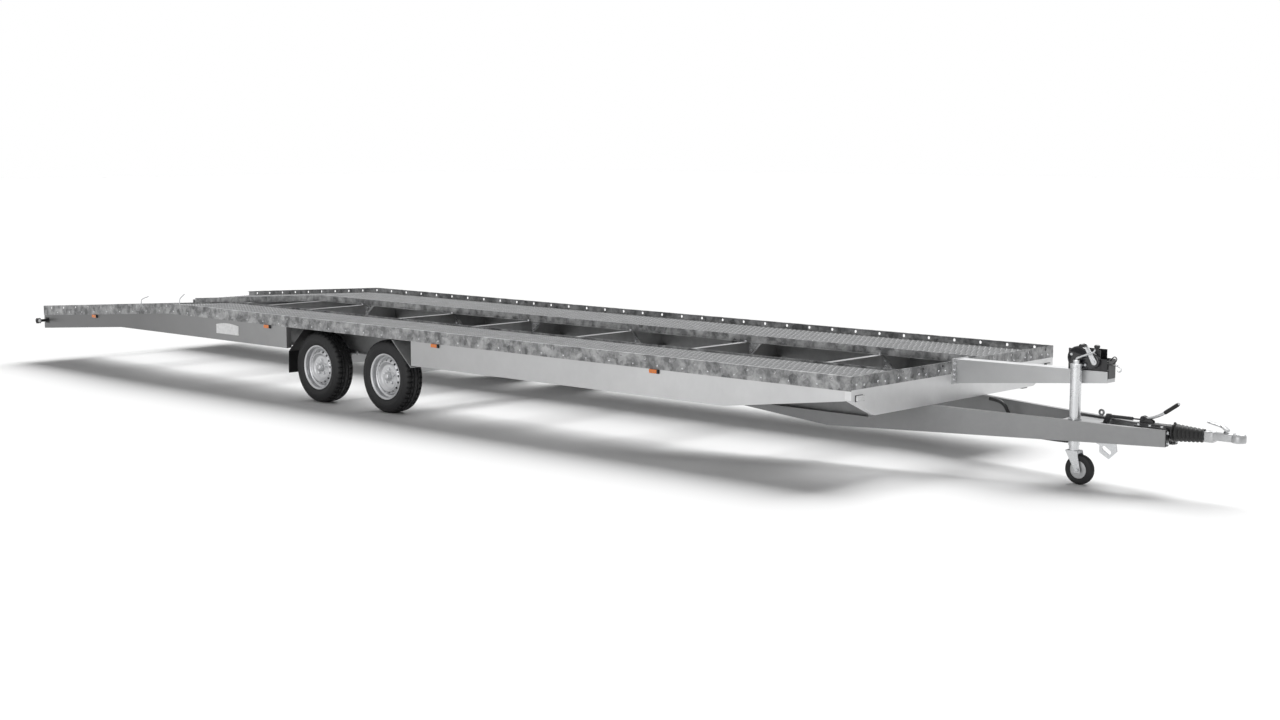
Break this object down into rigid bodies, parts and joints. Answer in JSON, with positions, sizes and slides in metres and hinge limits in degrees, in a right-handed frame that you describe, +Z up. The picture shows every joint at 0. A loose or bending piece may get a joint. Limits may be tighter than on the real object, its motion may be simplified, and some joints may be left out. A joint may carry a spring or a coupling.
{
  "type": "car hauler trailer",
  "caption": "Two-axle galvanised car hauler trailer with two plank tracks, an open centre, a sloping tail, a winch and a jockey wheel",
  "frame": {"origin": "on the ground, halfway along and across the whole trailer", "axes": "+X forward to the hitch, +Y to the trailer's left, +Z up"},
  "size_m": [11.74, 2.62, 0.886],
  "materials": {
    "galvanised": "hot-dip galvanised sheet, satin with a faint spangle",
    "deck_steel": "galvanised anti-slip plank",
    "tyre_rubber": "road tyre",
    "wheel_silver": "silver lacquered steel wheel",
    "cast_silver": "zinc-plated pressing and casting",
    "zinc_plated": "bright zinc plating",
    "black_plastic": "moulded black plastic",
    "black_gloss": "glossy black cover",
    "black_steel": "black painted steel",
    "black_rubber": "black rubber",
    "amber_lens": "amber lamp lens",
    "red_lens": "red lamp lens",
    "white_lens": "clear-white lamp lens",
    "white_plate": "blank white plate"
  },
  "bodies": {
    "chassis": {"axle_front": "galvanised", "axle_rear": "galvanised", "blank_plates": "white_plate", "brake_rod": "zinc_plated", "coupling_bellows": "black_rubber", "coupling_handle": "cast_silver", "coupling_head": "cast_silver", "coupling_housing": "black_steel", "cross_members": "galvanised", "deck_left": "deck_steel", "deck_right": "deck_steel", "drawbar_bridge": "galvanised", "drawbar_left": "galvanised", "drawbar_right": "galvanised", "front_beam": "galvanised", "front_markers": "white_lens", "front_rails": "galvanised", "gussets": "galvanised", "handbrake_lever": "zinc_plated", "handbrake_strut": "black_steel", "inner_rails": "galvanised", "jockey_crank": "zinc_plated", "jockey_grip": "black_plastic", "jockey_latch": "zinc_plated", "jockey_tube": "zinc_plated", "main_beam_left": "galvanised", "main_beam_right": "galvanised", "mudguard_left": "galvanised", "mudguard_right": "galvanised", "outriggers": "galvanised", "rear_beam": "galvanised", "side_beam_left": "galvanised", "side_beam_right": "galvanised", "side_markers": "amber_lens", "side_rail_left": "galvanised", "side_rail_right": "galvanised", "stalk_lamps": "black_rubber", "tail_lamps": "red_lens", "winch_beam": "galvanised", "winch_cover": "black_gloss", "winch_crank": "zinc_plated", "winch_drum": "black_plastic", "winch_frame": "black_steel"},
    "road_wheel_front_left": {"wheel_front_left": "wheel_silver", "tyre_front_left": "tyre_rubber"},
    "road_wheel_front_right": {"wheel_front_right": "wheel_silver", "tyre_front_right": "tyre_rubber"},
    "road_wheel_rear_left": {"wheel_rear_left": "wheel_silver", "tyre_rear_left": "tyre_rubber"},
    "road_wheel_rear_right": {"wheel_rear_right": "wheel_silver", "tyre_rear_right": "tyre_rubber"},
    "jockey_leg_body": {"jockey_leg": "zinc_plated"},
    "jockey_caster": {"jockey_fork": "zinc_plated"},
    "jockey_roller": {"jockey_hub": "cast_silver", "jockey_tyre": "black_rubber"}
  },
  "joints": [
    {"name": "road_wheel_front_left_turn", "type": "hinge", "parent": "chassis", "child": "road_wheel_front_left", "pos_m": [-0.677, 1.0815, 0.291], "axis": [0, 1, 0], "continuous": true},
    {"name": "road_wheel_front_right_turn", "type": "hinge", "parent": "chassis", "child": "road_wheel_front_right", "pos_m": [-0.677, -1.0815, 0.291], "axis": [0, 1, 0], "continuous": true},
    {"name": "road_wheel_rear_left_turn", "type": "hinge", "parent": "chassis", "child": "road_wheel_rear_left", "pos_m": [-1.547, 1.0815, 0.291], "axis": [0, 1, 0], "continuous": true},
    {"name": "road_wheel_rear_right_turn", "type": "hinge", "parent": "chassis", "child": "road_wheel_rear_right", "pos_m": [-1.547, -1.0815, 0.291], "axis": [0, 1, 0], "continuous": true},
    {"name": "jockey_leg_slide", "type": "slide", "parent": "chassis", "child": "jockey_leg_body", "axis": [0, 0, 1], "range_m": [-0.2, 0.02]},
    {"name": "jockey_caster_swivel", "type": "hinge", "parent": "jockey_leg_body", "child": "jockey_caster", "pos_m": [4.8, -0.105, 0.2], "axis": [0, 0, 1], "continuous": true},
    {"name": "jockey_roller_turn", "type": "hinge", "parent": "jockey_caster", "child": "jockey_roller", "pos_m": [4.845, -0.105, 0.095], "axis": [0, 1, 0], "continuous": true}
  ]
}
